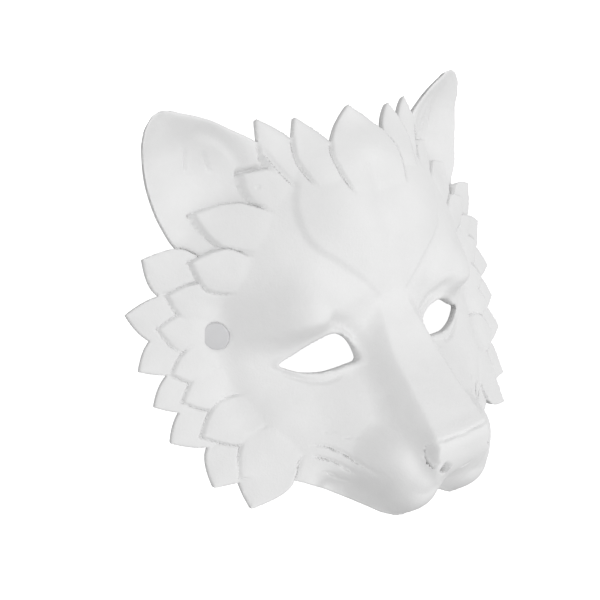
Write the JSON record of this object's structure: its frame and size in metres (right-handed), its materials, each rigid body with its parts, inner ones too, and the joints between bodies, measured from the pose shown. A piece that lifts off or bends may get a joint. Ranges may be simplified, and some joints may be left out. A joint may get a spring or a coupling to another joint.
{
  "type": "lion half mask",
  "caption": "Moulded half mask of a maned animal's face with pointed ears, a long snout, eye holes and overlapping mane tufts, held on by a strap at its temple rivets.",
  "frame": {"origin": "on the surface that the mask lies on, under the middle of its outline", "axes": "+Z out of the face, +Y towards the crown, +X to the viewer's right when the mask is seen from the front"},
  "size_m": [0.1954, 0.1832, 0.0807],
  "materials": {
    "foam": "matte white unpainted moulded foam with a fine skin",
    "rivet_plastic": "pale grey moulded plastic with a low gloss"
  },
  "bodies": {
    "root": {"mask_shell": "foam", "strap_rivet_left": "rivet_plastic", "strap_rivet_right": "rivet_plastic"}
  },
  "joints": []
}
